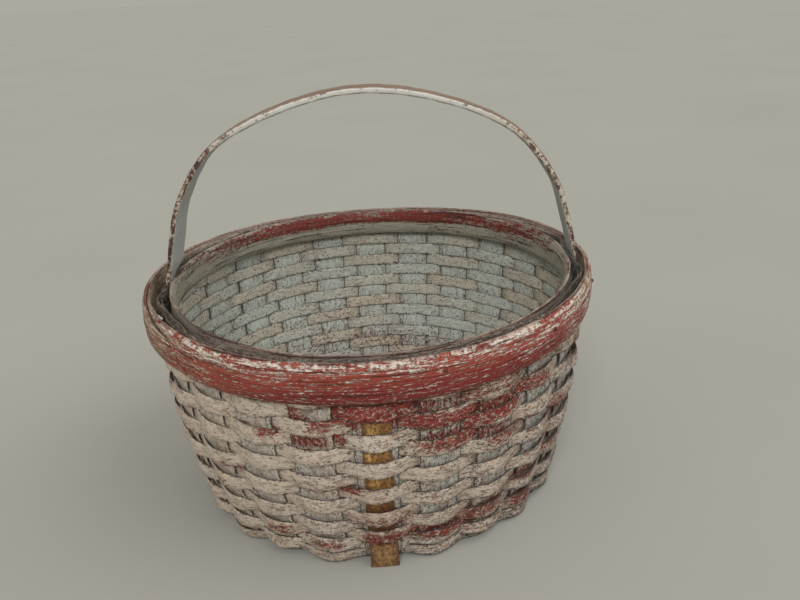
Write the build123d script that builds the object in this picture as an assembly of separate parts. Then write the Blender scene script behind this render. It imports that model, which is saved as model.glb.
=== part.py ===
from build123d import *
import math
import os

# A round splint basket with a fixed bow handle. Millimetres, +Z up, the origin on the ground at
# its middle, the front towards -Y and the handle across X. Every splint runs over and under the
# others: a row of weaving passes outside one stake and inside the next.

# Stakes: flat splints that cross under the base and stand up the wall
STAKE_COUNT = 24  # uprights round the wall, two to each splint
STAKE_THICK = 1.1
STAKE_WAIST = 8.4  # width where they cross
STAKE_BASE_WIDTH = 24.0  # width at the edge of the base
STAKE_RIM_WIDTH = 29.0  # width at the rim
STAKE_TOP = 184.5
CROSSING_RADIUS = 34.0  # the stakes lie flat on each other inside this
CROSSING_HEIGHT = 7.0  # middle of the lowest stake where they cross
LAYER_PITCH = STAKE_THICK + 0.06

# The base and the wall, as the line up the middle of a stake: radius and height
WALL_LINE = [
    (74.0, 6.4), (104.0, 4.4), (126.0, 3.4), (140.0, 3.2), (147.6, 4.9), (152.0, 9.5),
    (154.3, 16.0), (157.6, 28.0), (167.4, 60.0), (174.2, 100.0), (176.4, 145.0), (178.0, 186.0),
]

# Weaving splints
WEAVER_THICK = 1.2
WALL_ROWS = 15
WALL_ROW_WIDTH = 10.8
FIRST_ROW_HEIGHT = 14.0
LAST_ROW_HEIGHT = 176.0
BASE_ROWS = 7
BASE_ROW_WIDTH = 8.6
FIRST_BASE_RADIUS = 81.0
LAST_BASE_RADIUS = 136.0
BULGE_OUT = 3.5  # middle of a splint from the middle of the stake that it passes outside
BULGE_OVER_BRACE = 5.2
BULGE_IN = 2.2  # the same where it passes inside
CORNER_BULGE_IN = 3.2  # the same for the first row, inside the bend at the foot of the wall
BASE_BULGE = 2.3
RING_LENGTHS = 8  # a row's faces are split into this many lengths
END_GAP = 1.2  # from the end of a row to the middle of the stake that hides it

# Hoops that clamp the top of the wall
RIM_TOP = 186.0
OUTER_RIM_RADIUS = 190.0
OUTER_RIM_THICK = 6.5
OUTER_RIM_WIDTH = 30.0
INNER_RIM_RADIUS = 171.0  # its outer face
INNER_RIM_THICK = 5.2
INNER_RIM_WIDTH = 24.0
RIM_ROUND = 2.2
HOOP_GAP = 0.4  # between the two ends of a hoop
OUTER_END_ANGLE = -150.0
INNER_END_ANGLE = 60.0

# Handle: a bent bow with thinned legs that run down inside the two side stakes
BOW_LINE = [(170.3, 223.3), (157.5, 263.3), (122.6, 305.3), (61.4, 332.3), (0.0, 342.1)]
GRIP_THICK = 5.7
GRIP_WIDTH = 21.0
GRIP_HEIGHT = 300.0  # above this the bow has its grip's width
SHOULDER_WIDTH = 27.0
SHOULDER_HEIGHTS = (189.0, 225.0)  # between these, just over the hoops, the bow is widest
LEG_THICK = 3.0
LEG_WIDTH = 15.0
NOTCH_HEIGHT = 184.0  # below this the leg is narrow enough for the weaving to pass
TAIL_THICK = 1.6
TAIL_WIDTH = 11.0
TAIL_HEIGHT = 112.0
LEG_HEIGHTS = [TAIL_HEIGHT, 137.0, 162.0, RIM_TOP]
LEG_GAP = 0.4

# Front splint, laid over the front stake and left thick and square at its foot
BRACE_WIDTH = 23.0
BRACE_THICK = 1.2
BRACE_TOP = 181.0
FOOT_TOP = 20.0  # above this it lies on the stake
FOOT_SOLE = (158.5, 162.0)  # radii between which its foot stands on the ground

# Nails through both hoops, at every other stake and at the handle
NAIL_DIAMETER = 1.6
NAIL_START = 166.4
NAIL_HEAD_DIAMETER = 4.0
NAIL_HEAD_THICK = 0.9
NAIL_PROUD = 0.2
NAIL_CLEARANCE = 0.1

SLACK = 0.15  # air between pieces that lie against each other
STAKE_STEP = 360.0 / STAKE_COUNT
SIDE_STAKES = (STAKE_COUNT // 4, 3 * STAKE_COUNT // 4)
NAIL_STAKES = [n for n in range(STAKE_COUNT) if n % 2 == 1 or n in SIDE_STAKES]
REACH = 400.0  # longer than the basket, for cutting shapes

WALL = Spline([(radius, 0, height) for radius, height in WALL_LINE])


def wall_length(axis, value):
    """How far along the wall's line its X (axis 0) or Z (axis 2) first reaches a value."""
    low, high = 0.0, WALL.length
    for _ in range(40):
        middle = (low + high) / 2
        point = WALL.position_at(middle, PositionMode.LENGTH)
        if (point.X, point.Y, point.Z)[axis] < value:
            low = middle
        else:
            high = middle
    return low


def wall_frame(length):
    """Point, upward tangent and outward normal on the wall's line."""
    point = WALL.position_at(length, PositionMode.LENGTH)
    tangent = WALL.tangent_at(length, PositionMode.LENGTH)
    return point, tangent, Vector(tangent.Z, 0, -tangent.X)


def stake_angle(number):
    return -90.0 + STAKE_STEP * number


def mirrored(points):
    """The points of a half outline at x > 0, and the same on the other side, in one line."""
    return [(-x, z) for x, z in reversed(points) if x > 0] + points


def in_section(points):
    return [(x, 0, z) for x, z in points]


def sheet(low, high, width):
    """The space between two curves in the XZ plane, extruded to a width across Y."""
    ends = [Line(low @ 0, high @ 0), Line(low @ 1, high @ 1)]
    face = Face(Wire([low, ends[0], high, ends[1]]))
    return extrude(face, amount=width / 2, dir=(0, 1, 0), both=True)


def band(curve, points, thickness, width):
    """A strip of even thickness along a curve through the points, lying across Y."""
    sides = []
    for side in (-1, 1):
        line = []
        for point in points:
            tangent = curve.tangent_at(point)
            line.append(Vector(point) + Vector(tangent.Z, 0, -tangent.X) * (side * thickness / 2))
        sides.append(Spline(line))
    return sheet(sides[0], sides[1], width)


def prism(points, direction):
    return extrude(Face(Wire.make_polygon(points, close=True)), amount=REACH, dir=direction, both=True)


def stake(index):
    """One splint: up the wall, under the base and up the other side, waisted where it crosses."""
    crossing = CROSSING_HEIGHT + LAYER_PITCH * index
    middle = [(CROSSING_RADIUS / 2, crossing), (CROSSING_RADIUS, crossing)]
    points = in_section(mirrored(middle + WALL_LINE))
    strip = band(Spline(points), points, STAKE_THICK, STAKE_RIM_WIDTH + 2)
    waist, base, rim = STAKE_WAIST / 2, STAKE_BASE_WIDTH / 2, STAKE_RIM_WIDTH / 2
    base_edge, waist_end, rim_edge = WALL_LINE[4][0], 50.0, WALL_LINE[-1][0] + 20
    half_plan = [(waist_end, waist), (base_edge, base), (rim_edge, rim)]
    plan = mirrored(half_plan) + [(x, -y) for x, y in reversed(mirrored(half_plan))]
    front = [(-base, -10), (base, -10), (rim, STAKE_TOP), (-rim, STAKE_TOP)]
    strip = strip & prism([(0, y, z) for y, z in front], (1, 0, 0))
    return strip & prism([(x, y, 0) for x, y in plan], (0, 0, 1))


def woven_ring(frame, width, offsets, start):
    """A splint once round the basket. The offsets are its distances out from the wall's line, at
    every stake and halfway between, from the stake where it starts to the same stake again."""
    point, tangent, normal = frame
    shift = math.degrees(END_GAP / point.X)
    angles = [stake_angle(start + i / 2) for i in range(len(offsets))]
    angles[0] += shift
    angles[-1] -= shift
    corners = [(-1, -1), (-1, 1), (1, 1), (1, -1)]
    edges = []
    for side, face in corners:
        edge = point + tangent * (side * width / 2)
        line = []
        for offset, angle in zip(offsets, angles):
            place = edge + normal * (offset + face * WEAVER_THICK / 2)
            line.append(place.rotate(Axis.Z, angle))
        along = [Vector(0, 1, 0).rotate(Axis.Z, angle) for angle in (angles[0], angles[-1])]
        edges.append(Spline(line, tangents=along))
    faces = []
    for length in range(RING_LENGTHS):
        share = length / RING_LENGTHS
        parts = [edge.trim(share, share + 1 / RING_LENGTHS) for edge in edges]
        for i in range(4):
            faces.append(Face.make_surface_from_curves(parts[i - 1], parts[i]))
    for end in (0, 1):
        corner = [edge @ end for edge in edges]
        rails = [Edge.make_line(corner[0], corner[1]), Edge.make_line(corner[3], corner[2])]
        faces.append(Face.make_surface_from_curves(rails[0], rails[1]))
    return Solid(Shell(faces))


def ring_offsets(start, parity, usual_in, special):
    """Offsets from the start stake round to it again. A stake whose number has the parity is
    passed on the outside. special holds the offsets at stakes that carry something more."""
    offsets = []
    for step in range(STAKE_COUNT + 1):
        number = (start + step) % STAKE_COUNT
        usual = BULGE_OUT if number % 2 == parity else -usual_in
        if offsets:
            offsets.append((BULGE_OUT - usual_in) / 2)
        offsets.append(special.get(number, usual))
    return offsets


def start_stake(row, parity):
    """A stake that hides the ends of a row: passed on the inside, and not one at the handle."""
    start = (3 * row + 1) % STAKE_COUNT
    if start % 2 == parity:
        start += 1
    if start in SIDE_STAKES:
        start += 2
    return start


def leg_thickness(height):
    share = (RIM_TOP - height) / (RIM_TOP - TAIL_HEIGHT)
    return LEG_THICK + (TAIL_THICK - LEG_THICK) * min(max(share, 0), 1)


def wall_row(row):
    """Rows are counted from the bottom. An even row passes outside the front stake."""
    first = wall_length(2, FIRST_ROW_HEIGHT)
    last = wall_length(2, LAST_ROW_HEIGHT)
    frame = wall_frame(first + (last - first) * (row - 1) / (WALL_ROWS - 1))
    height = frame[0].Z
    parity = row % 2
    usual_in = CORNER_BULGE_IN if row == 1 else BULGE_IN
    special = {}
    if parity == 0:
        special[0] = BULGE_OVER_BRACE
    if SIDE_STAKES[0] % 2 != parity and height > TAIL_HEIGHT - WALL_ROW_WIDTH:
        behind_leg = (STAKE_THICK + WEAVER_THICK) / 2 + leg_thickness(height) + LEG_GAP + 5 * SLACK
        for number in SIDE_STAKES:
            special[number] = -behind_leg
    start = start_stake(row, parity)
    offsets = ring_offsets(start, parity, usual_in, special)
    return woven_ring(frame, WALL_ROW_WIDTH, offsets, start)


def base_row(row):
    """Rows are counted from the middle. The last one carries on the wall's over and under."""
    share = (row - 1) / (BASE_ROWS - 1)
    radius = FIRST_BASE_RADIUS + (LAST_BASE_RADIUS - FIRST_BASE_RADIUS) * share
    parity = (BASE_ROWS - row) % 2
    start = start_stake(row, parity)
    offsets = []
    for i in range(2 * STAKE_COUNT + 1):
        under = (start + i // 2) % 2 == parity
        offsets.append(0 if i % 2 else (BASE_BULGE if under else -BASE_BULGE))
    return woven_ring(wall_frame(wall_length(0, radius)), BASE_ROW_WIDTH, offsets, start)


def hoop(outer, thick, width, end_angle):
    """A bent hoop of rounded section, with a narrow gap where its two ends meet."""
    centre = Pos(outer - thick / 2, RIM_TOP - width / 2)
    section = Plane.XZ * centre * RectangleRounded(thick, width, RIM_ROUND)
    gap = math.degrees(HOOP_GAP / outer)
    return Rot(0, 0, end_angle) * revolve(section, Axis.Z, 360 - gap)


def handle():
    """The bow, wide over the hoops, with legs that thin to tails inside the side stakes."""
    outer_leg = []
    for z in LEG_HEIGHTS:
        point = wall_frame(wall_length(2, z))[0]
        outer_leg.append((point.X - STAKE_THICK / 2 - LEG_GAP, z))
    outer_points = in_section(mirrored((outer_leg + BOW_LINE)[::-1]))
    outer = Spline(outer_points)
    inner_points = []
    for x, y, z in outer_points:
        tangent = outer.tangent_at((x, y, z))
        thickness = leg_thickness(z) if z <= RIM_TOP else GRIP_THICK
        inner_points.append(Vector(x, y, z) + Vector(tangent.Z, 0, -tangent.X) * thickness)
    bow = sheet(outer, Spline(inner_points), SHOULDER_WIDTH + 2)
    grip, shoulder = GRIP_WIDTH / 2, SHOULDER_WIDTH / 2
    leg, tail = LEG_WIDTH / 2, TAIL_WIDTH / 2
    half = [(tail, TAIL_HEIGHT - 1), (leg, NOTCH_HEIGHT)]
    half += [(shoulder, z) for z in SHOULDER_HEIGHTS]
    half += [(grip, GRIP_HEIGHT), (grip, REACH)]
    front = [(0, y, z) for y, z in half] + [(0, -y, z) for y, z in reversed(half)]
    return bow & prism(front, (1, 0, 0))


def brace():
    """The splint over the front stake, with a thicker foot that stands out to the ground."""
    lift = (STAKE_THICK + BRACE_THICK) / 2 + SLACK
    low, high = wall_length(2, FOOT_TOP), wall_length(2, BRACE_TOP)
    rising = []
    for i in range(9):
        point, _, normal = wall_frame(low + (high - low) * i / 8)
        place = point + normal * lift
        rising.append((place.X, place.Z))
    points = in_section(rising)
    line = Spline(points, tangents=[wall_frame(low)[1], wall_frame(high)[1]])
    strip = band(line, points, BRACE_THICK, BRACE_WIDTH)
    half = wall_frame(low)[2] * (BRACE_THICK / 2)
    inner, outer = Vector(points[0]) - half, Vector(points[0]) + half
    corners = [inner, outer, (FOOT_SOLE[1], 0, 0), (FOOT_SOLE[0], 0, 0)]
    section = Face(Wire.make_polygon(corners, close=True))
    foot = extrude(section, amount=BRACE_WIDTH / 2, dir=(0, 1, 0), both=True)
    return Rot(0, 0, stake_angle(0)) * (strip + foot)


def nail(number, grow):
    """A nail driven in through both hoops at a stake, or, when grown, the hole for it."""
    head_base = OUTER_RIM_RADIUS + NAIL_PROUD - NAIL_HEAD_THICK
    shaft = Cylinder(NAIL_DIAMETER / 2 + grow, head_base - NAIL_START + 2 * grow)
    head = Cylinder(NAIL_HEAD_DIAMETER / 2 + grow, NAIL_HEAD_THICK + 2 * grow)
    lying = Rot(0, 90, 0)
    shaft = Pos((head_base + NAIL_START) / 2, 0, 0) * lying * shaft
    head = Pos(head_base + NAIL_HEAD_THICK / 2, 0, 0) * lying * head
    return Rot(0, 0, stake_angle(number)) * Pos(0, 0, LAST_ROW_HEIGHT) * (shaft + head)


def nail_holes(numbers):
    return Compound([nail(number, NAIL_CLEARANCE / 2) for number in numbers])


def write(name, shape):
    shape.label = name
    export_step(shape, os.path.join("parts", name + ".step"))


def main():
    os.makedirs("parts", exist_ok=True)
    half_turn = STAKE_COUNT // 2
    for i in range(half_turn):
        splint = Rot(0, 0, stake_angle(i)) * stake(i)
        nailed = [number for number in (i, i + half_turn) if number in NAIL_STAKES]
        if nailed:
            splint = splint - nail_holes(nailed)
        write(f"stake_{i + 1:02d}", splint)
    for row in range(1, WALL_ROWS):
        write(f"weaver_{row:02d}", wall_row(row))
    write(f"weaver_{WALL_ROWS:02d}", wall_row(WALL_ROWS) - nail_holes(NAIL_STAKES))
    for row in range(1, BASE_ROWS + 1):
        write(f"base_weaver_{row}", base_row(row))
    outer_rim = hoop(OUTER_RIM_RADIUS, OUTER_RIM_THICK, OUTER_RIM_WIDTH, OUTER_END_ANGLE)
    inner_rim = hoop(INNER_RIM_RADIUS, INNER_RIM_THICK, INNER_RIM_WIDTH, INNER_END_ANGLE)
    write("outer_rim", outer_rim - nail_holes(NAIL_STAKES))
    write("inner_rim", inner_rim - nail_holes(NAIL_STAKES))
    write("handle", handle() - nail_holes(SIDE_STAKES))
    write("front_brace", brace())
    write("rim_nails", Compound([nail(number, 0) for number in NAIL_STAKES]))


main()
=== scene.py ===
import math

import bpy
import numpy as np
from mathutils import Matrix, Vector


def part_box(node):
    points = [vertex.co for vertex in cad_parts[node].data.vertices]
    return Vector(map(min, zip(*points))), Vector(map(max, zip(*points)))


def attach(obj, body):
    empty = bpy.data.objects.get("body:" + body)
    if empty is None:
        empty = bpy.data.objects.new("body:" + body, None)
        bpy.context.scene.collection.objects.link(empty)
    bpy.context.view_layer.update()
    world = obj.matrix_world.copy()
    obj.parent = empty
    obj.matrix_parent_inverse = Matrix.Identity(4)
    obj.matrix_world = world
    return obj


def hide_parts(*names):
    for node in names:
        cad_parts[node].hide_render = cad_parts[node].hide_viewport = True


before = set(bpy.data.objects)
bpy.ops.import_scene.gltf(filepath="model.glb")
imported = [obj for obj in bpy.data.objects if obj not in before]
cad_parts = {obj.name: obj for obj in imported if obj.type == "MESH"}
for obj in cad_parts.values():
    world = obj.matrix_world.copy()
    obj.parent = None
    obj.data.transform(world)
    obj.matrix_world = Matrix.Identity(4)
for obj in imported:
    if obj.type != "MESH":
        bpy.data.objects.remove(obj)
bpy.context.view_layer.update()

# ---------------- sizes, in metres
# The middle line of a stake, from the base to the rim: radius and height, near the CAD model's
WALL_LINE = [
    (0.0740, 0.0064), (0.1040, 0.0044), (0.1260, 0.0036), (0.1440, 0.0032),
    (0.1520, 0.0037), (0.1562, 0.0064), (0.1578, 0.0120), (0.1606, 0.0290),
    (0.1682, 0.0600), (0.1744, 0.1000), (0.1766, 0.1450), (0.1780, 0.1860),
]
STAKES = 24
STEP = 2 * math.pi / STAKES
FRONT = -math.pi / 2
SIDES = (STAKES // 4, 3 * STAKES // 4)
STAKE_THICK = 0.0012
CROSSING_RADIUS = 0.034
CROSSING_HEIGHT = 0.0070
LAYER_PITCH = 0.00116
WALL_ROWS = 15
ROW_HEIGHTS = ((1, 0.0215), (3, 0.0416), (13, 0.1576), (15, 0.1806))  # some rows and their heights
BASE_ROWS = 7
FIRST_BASE = 0.082  # radius of the first row round the base
CORNER_ROWS = 2  # the base's last rows crowd round the bottom's corner
CORNER_PITCH = 0.0064  # between them
BASE_PITCH = 0.0105  # from them to the last of the flat rows
WEAVER_THICK = 0.0013

# ---------------- camera
CAMERA_PLACE = (0.0144, -0.6734, 0.4261)
CAMERA_DOWN, CAMERA_YAW, CAMERA_ROLL = 21.96, 1.11, -3.51  # degrees
CAMERA_LENS, SENSOR = 36.8, 36.0  # millimetres


def add_camera():
    down, yaw, roll = (math.radians(v) for v in (CAMERA_DOWN, CAMERA_YAW, CAMERA_ROLL))
    ahead = Vector((math.sin(yaw) * math.cos(down), math.cos(yaw) * math.cos(down), -math.sin(down)))
    right = Vector((math.cos(yaw), -math.sin(yaw), 0))
    up = right.cross(ahead)
    tilted_right = right * math.cos(roll) + up * math.sin(roll)
    tilted_up = up * math.cos(roll) - right * math.sin(roll)
    data = bpy.data.cameras.new("camera")
    data.lens, data.sensor_width = CAMERA_LENS, SENSOR
    camera = bpy.data.objects.new("camera", data)
    turn = Matrix((tilted_right, tilted_up, -ahead)).transposed().to_4x4()
    camera.matrix_world = Matrix.Translation(CAMERA_PLACE) @ turn
    bpy.context.collection.objects.link(camera)
    bpy.context.scene.camera = camera


add_camera()


# ---------------- small maths
def stacked(*parts):
    """Numbers and arrays that fit each other, side by side along a new last axis."""
    return np.stack(np.broadcast_arrays(*parts), axis=-1)


def unit(vectors):
    return vectors / np.linalg.norm(vectors, axis=1)[:, None]


def smooth_curve(points, samples):
    """A smooth line through the points, as evenly spaced samples."""
    points = np.array(points, float)
    ends = [2 * points[0] - points[1], 2 * points[-1] - points[-2]]
    padded = np.vstack([ends[0], points, ends[1]])
    dense = []
    for i in range(len(points) - 1):
        a, b, c, d = padded[i:i + 4]
        t = np.linspace(0, 1, 40, endpoint=False)[:, None]
        dense.append(0.5 * (2 * b + (c - a) * t + (2 * a - 5 * b + 4 * c - d) * t**2
                            + (3 * b - a - 3 * c + d) * t**3))
    dense.append(points[-1:])
    dense = np.vstack(dense)
    lengths = np.concatenate([[0], np.cumsum(np.linalg.norm(np.diff(dense, axis=0), axis=1))])
    even = np.linspace(0, lengths[-1], samples)
    columns = [np.interp(even, lengths, dense[:, k]) for k in range(dense.shape[1])]
    return even, np.stack(columns, axis=1)


WALL_S, WALL = smooth_curve(WALL_LINE, 800)
WALL_T = unit(np.gradient(WALL, WALL_S, axis=0))


def wall_at(s):
    """Radius, height, and the tangent's radius and height parts, at a length up the wall."""
    return [np.interp(s, WALL_S, column) for column in (*WALL.T, *WALL_T.T)]


LOWEST = int(np.argmin(WALL[:, 1]))  # the sample on the ring where the base is lowest


def length_at_radius(radius):
    return float(np.interp(radius, WALL[:, 0], WALL_S))


def length_at_height(height):
    """The length up the wall at a height, past the lowest ring of the base."""
    return float(np.interp(height, WALL[LOWEST:, 1], WALL_S[LOWEST:]))


def eased(share):
    """0 to 1 with a soft start and end."""
    return share * share * (3 - 2 * share)


WOBBLE_WAVES = ((1, 1.0), (2, 0.7), (3.7, 0.5), (7.3, 0.35))  # rates and sizes
WOBBLE_SPAN = 1.6  # about the largest sum of the waves
CYCLIC_RATES = (1, 2, 3, 5, 8, 13)
CYCLIC_SPAN = 2.2


def wobble(x, seed):
    """A smooth wandering value of about -1 to 1 along x."""
    rng = np.random.default_rng(seed)
    total = np.zeros_like(np.asarray(x, float))
    for rate, size in WOBBLE_WAVES:
        total += size * np.sin(rate * x + rng.uniform(0, 2 * math.pi))
    return total / WOBBLE_SPAN


def cyclic_wobble(angle, seed):
    """The same round the basket, joining up after a turn."""
    rng = np.random.default_rng(seed)
    total = np.zeros_like(np.asarray(angle, float))
    for rate in CYCLIC_RATES:
        total += rng.uniform(0.5, 1) / rate**0.4 * np.sin(rate * angle + rng.uniform(0, 2 * math.pi))
    return total / CYCLIC_SPAN


# ---------------- meshes
# Places across a splint, from its lower edge to its upper edge, and how full its thickness is
COLUMNS = np.array([-1.0, -0.93, -0.6, -0.2, 0.2, 0.6, 0.93, 1.0])
FULLNESS = np.array([0.30, 0.82, 1.0, 1.0, 1.0, 1.0, 0.82, 0.30])
SHARP_ANGLE = math.radians(40)

RIM_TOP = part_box("outer_rim")[1][2]
SADDLE = 0.0042  # how far the sides of the rim stand above the mean
SADDLE_FRONT, SADDLE_BACK = 0.36, 0.15  # shares of that by which the front and the back are low
WARP_FADE = 0.25  # height above which nothing is raised
ASIDE = 0.0034  # how far to the right the top of the basket has leant


def settle(points):
    """Puts the basket out of true: raised at the two sides, low at the front, and leaning."""
    x, y, z = points.T
    rising = np.clip(z / RIM_TOP, 0, 1)**2
    fading = np.clip((WARP_FADE - z) / (WARP_FADE - RIM_TOP), 0, 1)
    lowered = y * y * np.where(y < 0, SADDLE_FRONT, SADDLE_BACK)
    points[:, 2] += SADDLE * (x * x - lowered) / WALL[-1, 0]**2 * rising * fading
    points[:, 2] = np.maximum(points[:, 2], 0)
    points[:, 0] += ASIDE * rising
    return points


def add_mesh(name, points, faces, grain=None, coat=None):
    """A settled mesh object with smooth faces. grain gives each point's place along and across
    the wood, and coat the four numbers of its paint."""
    mesh = bpy.data.meshes.new(name)
    mesh.from_pydata(settle(points.reshape(-1, 3)).tolist(), [], faces)
    if grain is not None:
        mesh.attributes.new("grain", "FLOAT_VECTOR", "POINT").data.foreach_set("vector", grain.ravel())
        mesh.attributes.new("coat", "FLOAT_COLOR", "POINT").data.foreach_set("color", coat.ravel())
    mesh.shade_smooth()
    mesh.set_sharp_from_angle(angle=SHARP_ANGLE)
    piece = bpy.data.objects.new(name, mesh)
    bpy.context.collection.objects.link(piece)
    return piece


def strip_faces(rows, ring):
    """Quads of a tube of rows rings, each of ring points, with its two ends shut."""
    faces = []
    for i in range(rows - 1):
        for j in range(ring):
            k = (j + 1) % ring
            faces.append((i * ring + j, (i + 1) * ring + j, (i + 1) * ring + k, i * ring + k))
    last = (rows - 1) * ring
    for j in range(ring // 2 - 1):
        far = ring - 1 - j
        faces.append((j, j + 1, far - 1, far))
        faces.append((last + j, last + far, last + far - 1, last + j + 1))
    return faces


def splint(name, centre, across, normal, low, high, thick, cup, along, seed, coat):
    """A flat strip of split wood. Each line of the arrays is a place along it: its middle, the
    directions to its upper edge and out of its face, the reach of both edges, its thickness and
    how far its middle stands out. coat(outer face?, across) gives the paint's four numbers."""
    rng = np.random.default_rng(seed)
    rings, grain, paint = [], [], []
    reach = np.where(COLUMNS[None, :] < 0, low[:, None], high[:, None]) * COLUMNS[None, :]
    bow = cup[:, None] * (1 - COLUMNS[None, :]**2)
    ridges = 0.05 * thick[:, None] * (wobble(along * 300, seed)[:, None]
                                      * np.sin(COLUMNS * 5 + rng.uniform(0, 6))[None, :])
    for face in (1, -1):
        order = slice(None) if face == 1 else slice(None, None, -1)
        rise = bow + face * thick[:, None] / 2 * FULLNESS[None, :] + ridges * (face == 1)
        place = (centre[:, None, :] + across[:, None, :] * reach[:, :, None]
                 + normal[:, None, :] * rise[:, :, None])
        rings.append(place[:, order])
        grain.append(stacked(along[:, None], reach, seed * 0.37 + (face < 0) * 0.11)[:, order])
        paint.append(coat(face == 1, reach)[:, order])
    points, grain, paint = (np.concatenate(parts, axis=1) for parts in (rings, grain, paint))
    return add_mesh(name, points, strip_faces(len(centre), 2 * len(COLUMNS)), grain, paint)


# ---------------- where the paint has worn
# Patches of bare red: degrees round from the front (the handle's right side is 90), height,
# half length round, half height, strength
RED_OUTSIDE = [
    (-2, 0.145, 11, 0.009, 1.5), (9, 0.134, 7, 0.006, 0.7), (18, 0.132, 9, 0.006, 0.9),
    (29, 0.128, 8, 0.007, 1.4), (41, 0.136, 7, 0.006, 0.8), (17, 0.115, 8, 0.007, 0.8),
    (27, 0.112, 8, 0.006, 0.6), (15, 0.146, 9, 0.006, 0.6), (30, 0.146, 9, 0.006, 0.4),
    (-15, 0.121, 4, 0.006, 1.1), (-9, 0.122, 2, 0.006, 0.9), (-13, 0.135, 3, 0.005, 0.7),
    (-5, 0.136, 2, 0.006, 0.8), (-26, 0.125, 3, 0.004, 0.9), (-40, 0.080, 4, 0.004, 0.6),
    (33, 0.102, 7, 0.006, 0.5), (42, 0.050, 5, 0.005, 0.9), (44, 0.024, 6, 0.006, 0.9),
    (29, 0.035, 7, 0.006, 0.8), (15, 0.027, 9, 0.006, 1.0), (22, 0.024, 7, 0.004, 0.7),
    (0, 0.027, 5, 0.006, 1.2), (-29, 0.030, 4, 0.004, 0.7), (-16, 0.020, 5, 0.004, 0.8),
    (-13, 0.078, 5, 0.003, 0.5), (-7, 0.078, 3, 0.004, 0.8), (0, 0.045, 8, 0.010, 0.5),
    (55, 0.095, 6, 0.008, 0.6), (54, 0.063, 6, 0.008, 0.6), (70, 0.125, 8, 0.010, 0.6),
    (-60, 0.095, 6, 0.006, 0.5), (-48, 0.060, 5, 0.005, 0.5), (-75, 0.120, 8, 0.008, 0.6),
    (105, 0.140, 14, 0.008, 0.9), (130, 0.100, 12, 0.007, 0.7), (150, 0.140, 16, 0.008, 0.9),
    (178, 0.060, 14, 0.008, 0.6), (200, 0.120, 12, 0.008, 0.9), (236, 0.145, 14, 0.008, 0.9),
    (120, 0.045, 12, 0.007, 0.7), (225, 0.040, 12, 0.008, 0.6), (262, 0.075, 10, 0.008, 0.6),
]
RED_INSIDE = [
    (180, 0.030, 46, 0.022, 0.34), (165, 0.050, 24, 0.016, 0.26), (200, 0.060, 26, 0.018, 0.26),
    (183, 0.085, 24, 0.014, 0.22), (140, 0.140, 12, 0.010, 0.28), (240, 0.100, 14, 0.012, 0.24),
]


def degrees_from_front(angle):
    return (np.degrees(angle) + 90) % 360


def patch_field(angle, height, table):
    """How strongly the patches of a table cover each place, round and up the basket."""
    round_at = degrees_from_front(angle)
    total = np.zeros(np.broadcast(angle, height).shape)
    for middle, level, length, width, strength in table:
        away = (round_at - middle + 180) % 360 - 180
        total = total + strength * np.exp(-(away / length)**4 - ((height - level) / width)**4)
    return total


# Painted shade: the outer edges of every splint are darkened, as the shadow lines in the crevices
# between splints
EDGE_SHADE = np.where(np.abs(COLUMNS) > 0.99, 1.0, np.where(np.abs(COLUMNS) > 0.9, 0.35, 0.0))
NEAR_RIM = 0.168  # above this the wall lies between the hoops, is grimy, and is darkened further as painted shade in the channel


def wall_coat(angle, height, outside, seed, cool):
    """How much red shows, whether this is the inside, how bluish the top coat is, and dirt with
    painted shade.
    """
    rightness = 0.5 + 0.5 * np.sin(np.radians(degrees_from_front(angle)) - 0.15)
    if outside:
        red = patch_field(angle, height, RED_OUTSIDE) + 0.28 + 0.30 * rightness
        tint = cool * (0.4 + 0.6 * rightness) + 0.26 * rightness + 0.08 * cyclic_wobble(angle, seed)
        # The last term darkens the outside towards the floor: painted shade near the base
        dirt_and_shade = 0.30 + 0.55 * rightness + 0.35 * np.clip(1 - height / 0.06, 0, 1)
    else:
        red = patch_field(angle, height, RED_INSIDE) + 0.20
        tint = cool + 0.42 + 0.10 * cyclic_wobble(angle, seed)
        dirt_and_shade = 0.62
    inside = 0.0 if outside else 1.0
    # Painted shade added to the dirt: dark lines at the splints' edges, and heavy darkening where the
    # wall lies between the hoops
    dirt_and_shade = np.maximum(dirt_and_shade + EDGE_SHADE, 1.25 * np.clip((height - NEAR_RIM) / 0.004, 0, 1))
    return stacked(red, inside, tint, dirt_and_shade)


# ---------------- woven rows
WEAVER_COOL, STAKE_COOL = 0.08, 0.55  # how much bluer the stakes' top coat is
OVERLAP = 0.34  # share of a pitch, each side of a stake, over which a row's ends lie together
TUCK = 1.15  # how many thicknesses deeper the second end lies
ROW_STEPS = 18  # rings of a row's mesh to each stake
RAGGED = 0.00025  # how far a row's edges stray
ROW_CUP = 0.0006  # how far out the middle of its width stands
WANDER = 0.0011  # about how far a row strays up or down


def wander(angle, s):
    """How far the rows stray, alike in neighbouring rows. s is the length up the wall."""
    return WANDER * (np.sin(2 * angle + 9 * s + 1.0) + 0.7 * np.sin(3 * angle - 14 * s)
                     + 0.5 * np.sin(7 * angle + 30 * s))


CROSSING = 0.70  # share of a pitch from an outer stake within which a row is bent outward


def nearest(position, parity, at_stake):
    """The value at the stake of that parity that lies nearest."""
    numbers = np.round((position - parity) / 2).astype(int) * 2 + parity
    return at_stake[numbers % STAKES]


def outward_share(position, parity):
    """1 in front of a stake that the row passes outside, down to 0 where it lies inside."""
    away = np.abs((position - parity + 1) % 2 - 1)
    return 0.5 + 0.5 * np.cos(math.pi * np.clip(away / CROSSING, 0, 1))


def row_offset(position, parity, start, reach_out, reach_in):
    """How far out of the stakes' line a row lies. Its second end tucks in behind its first."""
    share = outward_share(position, parity)
    inside = nearest(position, 1 - parity, reach_in)
    offset = share * (nearest(position, parity, reach_out) + inside) - inside
    tail = np.clip((position - (start + STAKES - 1.0 + OVERLAP)) / 0.6, 0, 1)
    return offset - eased(tail) * TUCK * WEAVER_THICK


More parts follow.
